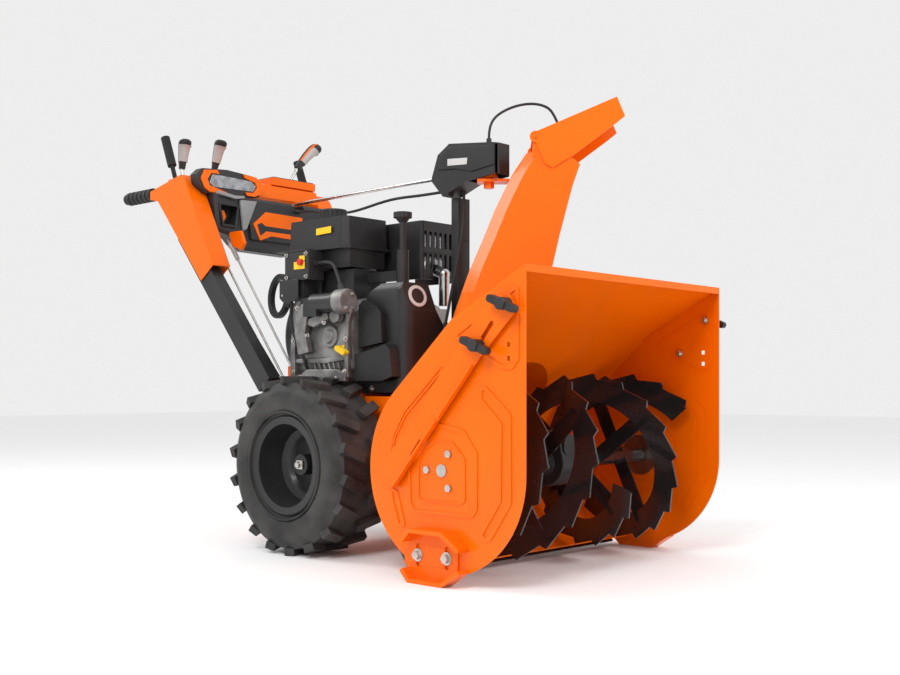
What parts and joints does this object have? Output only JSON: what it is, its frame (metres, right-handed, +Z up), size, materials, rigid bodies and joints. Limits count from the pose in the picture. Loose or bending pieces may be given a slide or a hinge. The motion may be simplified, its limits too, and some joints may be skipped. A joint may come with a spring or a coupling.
{
  "type": "snow blower",
  "caption": "Walk-behind two-stage snow blower with twin toothed augers, impeller, turning chute with tilting hood, engine, lugged wheels and control dash.",
  "frame": {"origin": "on the ground, at the middle of the whole machine's length and width", "axes": "+Z up, -Y towards the auger mouth, +Y towards the operator, +X towards the machine's left hand"},
  "size_m": [0.791, 1.516, 1.1189],
  "materials": {
    "orange_paint": "semi-gloss",
    "black_paint": "satin",
    "engine_paint": "satin",
    "zinc": "satin",
    "cast": "matt",
    "case_iron": "matt",
    "black_plastic": "matt",
    "lens": "clear",
    "rubber": "matt",
    "tyre": "matt",
    "yellow_plastic": "satin",
    "red_plastic": "satin"
  },
  "bodies": {
    "machine": {"housing_shell": "orange_paint", "side_plates": "orange_paint", "impeller_drum": "orange_paint", "scraper_blade": "black_paint", "skid_shoes": "orange_paint", "drift_cutters": "orange_paint", "housing_fasteners": "zinc", "gear_case": "case_iron", "tractor_frame": "orange_paint", "engine_block": "cast", "blower_housing": "engine_paint", "drive_belts": "rubber", "fuel_tank": "black_plastic", "switch_box": "black_plastic", "starter_motor": "cast", "starter_cable": "rubber", "muffler": "cast", "muffler_guard": "black_paint", "oil_tube": "black_paint", "belt_cover": "black_plastic", "handle_tubes": "black_paint", "uprights": "orange_paint", "handle_grips": "rubber", "dash_panel": "orange_paint", "dash_front": "black_plastic", "headlight": "lens", "chute_post": "black_paint", "gear_cover": "black_plastic", "control_lines": "rubber"},
    "knob_right_upper": {"wing_knob_right_upper": "black_plastic"},
    "knob_right_lower": {"wing_knob_right_lower": "black_plastic"},
    "knob_left_upper": {"wing_knob_left_upper": "black_plastic"},
    "knob_left_lower": {"wing_knob_left_lower": "black_plastic"},
    "auger": {"auger_right": "black_paint", "auger_left": "black_paint", "auger_shaft": "zinc"},
    "impeller_group": {"impeller_shaft": "zinc", "impeller": "black_paint"},
    "crank": {"crankshaft": "zinc"},
    "drive_disc": {"friction_disc": "zinc"},
    "drive_wheel": {"friction_wheel": "rubber"},
    "wheel_right": {"wheel_rim_right": "black_paint", "tyre_right": "tyre"},
    "wheel_left": {"wheel_rim_left": "black_paint", "tyre_left": "tyre"},
    "filler_cap": {"fuel_cap": "black_plastic"},
    "dipstick_cap": {"oil_cap": "black_plastic"},
    "drain_plug": {"oil_plug": "yellow_plastic"},
    "button": {"start_button": "red_plastic"},
    "pull_grip": {"recoil_grip": "black_plastic"},
    "attachment": {"attachment_lever": "black_plastic"},
    "traction": {"traction_lever": "black_plastic"},
    "speed": {"speed_lever": "black_plastic"},
    "chute_stick": {"chute_lever": "black_plastic"},
    "deflector_stick": {"deflector_lever": "black_plastic"},
    "chute_group": {"chute": "orange_paint", "chute_gear": "orange_paint", "deflector_cable": "rubber"},
    "hood": {"deflector": "orange_paint"},
    "rod": {"control_rod": "zinc"}
  },
  "joints": [
    {"name": "crank_spin", "type": "hinge", "parent": "machine", "child": "crank", "pos_m": [0, -0.058, 0.515], "axis": [0, 1, 0], "continuous": true},
    {"name": "impeller_spin", "type": "hinge", "parent": "machine", "child": "impeller_group", "pos_m": [0, -0.278, 0.26], "axis": [0, 1, 0], "continuous": true},
    {"name": "auger_spin", "type": "hinge", "parent": "machine", "child": "auger", "pos_m": [0, -0.549, 0.224], "axis": [1, 0, 0], "continuous": true},
    {"name": "disc_spin", "type": "hinge", "parent": "machine", "child": "drive_disc", "pos_m": [0, -0.098, 0.29], "axis": [0, 1, 0], "continuous": true},
    {"name": "wheel_right_spin", "type": "hinge", "parent": "machine", "child": "wheel_right", "pos_m": [-0.2, -0.023, 0.207], "axis": [1, 0, 0], "continuous": true},
    {"name": "wheel_left_spin", "type": "hinge", "parent": "machine", "child": "wheel_left", "pos_m": [0.2, -0.023, 0.207], "axis": [1, 0, 0], "continuous": true},
    {"name": "speed_lever_turn", "type": "hinge", "parent": "machine", "child": "speed", "pos_m": [-0.066, 0.582, 0.93], "axis": [1, 0, 0], "range_deg": [-25, 25]},
    {"name": "drive_wheel_shift", "type": "slide", "parent": "machine", "child": "drive_wheel", "axis": [1, 0, 0], "range_m": [-0.051, 0.051]},
    {"name": "attachment_lever_turn", "type": "hinge", "parent": "machine", "child": "attachment", "pos_m": [-0.232, 0.532, 0.925], "axis": [1, 0, 0], "range_deg": [-56, 0], "stiffness_Nm_per_rad": 1.5},
    {"name": "traction_lever_turn", "type": "hinge", "parent": "machine", "child": "traction", "pos_m": [0.232, 0.532, 0.925], "axis": [1, 0, 0], "range_deg": [-56, 0], "stiffness_Nm_per_rad": 1.5},
    {"name": "chute_turn", "type": "hinge", "parent": "machine", "child": "chute_group", "pos_m": [0, -0.366, 0.5], "axis": [0, 0, 1], "range_deg": [-130, 55]},
    {"name": "control_rod_turn", "type": "hinge", "parent": "machine", "child": "rod", "pos_m": [0.09, 0.447, 0.903], "axis": [0.1101, 0.9938, 0.0173], "range_deg": [-260, 110]},
    {"name": "chute_lever_turn", "type": "hinge", "parent": "machine", "child": "chute_stick", "pos_m": [0.098, 0.492, 0.94], "axis": [0, 1, 0], "range_deg": [-55, 24]},
    {"name": "deflector_tilt", "type": "hinge", "parent": "chute_group", "child": "hood", "pos_m": [0.06685, -0.44567, 0.945], "axis": [-0.766, -0.6428, 0], "range_deg": [-45, 0]},
    {"name": "deflector_lever_turn", "type": "hinge", "parent": "machine", "child": "deflector_stick", "pos_m": [-0.181, 0.574, 0.93], "axis": [1, 0, 0], "range_deg": [-31.5, 0]},
    {"name": "pull_grip_draw", "type": "slide", "parent": "machine", "child": "pull_grip", "axis": [0, 1, 0], "range_m": [0, 0.12], "stiffness_N_per_m": 40, "springref_m": -0.05},
    {"name": "button_press", "type": "slide", "parent": "machine", "child": "button", "axis": [1, 0, 0], "range_m": [0, 0.003], "stiffness_N_per_m": 400},
    {"name": "filler_cap_turn", "type": "hinge", "parent": "machine", "child": "filler_cap", "pos_m": [-0.08, 0.078, 0.815], "axis": [0, 0, 1], "range_deg": [0, 90]},
    {"name": "dipstick_cap_turn", "type": "hinge", "parent": "machine", "child": "dipstick_cap", "pos_m": [-0.082, -0.168, 0.79], "axis": [0, 0, 1], "range_deg": [0, 360]},
    {"name": "drain_plug_turn", "type": "hinge", "parent": "machine", "child": "drain_plug", "pos_m": [-0.19, -0.083, 0.474], "axis": [1, 0, 0], "range_deg": [0, 360]},
    {"name": "knob_right_upper_turn", "type": "hinge", "parent": "machine", "child": "knob_right_upper", "pos_m": [-0.37, -0.724, 0.543], "axis": [1, 0, 0], "continuous": true},
    {"name": "knob_right_lower_turn", "type": "hinge", "parent": "machine", "child": "knob_right_lower", "pos_m": [-0.37, -0.657, 0.467], "axis": [1, 0, 0], "continuous": true},
    {"name": "knob_left_upper_turn", "type": "hinge", "parent": "machine", "child": "knob_left_upper", "pos_m": [0.37, -0.724, 0.543], "axis": [1, 0, 0], "continuous": true},
    {"name": "knob_left_lower_turn", "type": "hinge", "parent": "machine", "child": "knob_left_lower", "pos_m": [0.37, -0.657, 0.467], "axis": [1, 0, 0], "continuous": true}
  ],
  "couplings": [
    {"joint": "impeller_spin", "follows": "crank_spin", "ratio": 0.4615},
    {"joint": "auger_spin", "follows": "crank_spin", "ratio": 0.0577},
    {"joint": "disc_spin", "follows": "crank_spin", "ratio": 0.62},
    {"joint": "drive_wheel_shift", "follows": "speed_lever_turn", "m_per_rad": 0.115},
    {"joint": "control_rod_turn", "follows": "chute_turn", "ratio": 2},
    {"joint": "chute_lever_turn", "follows": "chute_turn", "ratio": 0.42},
    {"joint": "deflector_lever_turn", "follows": "deflector_tilt", "ratio": 0.7}
  ]
}
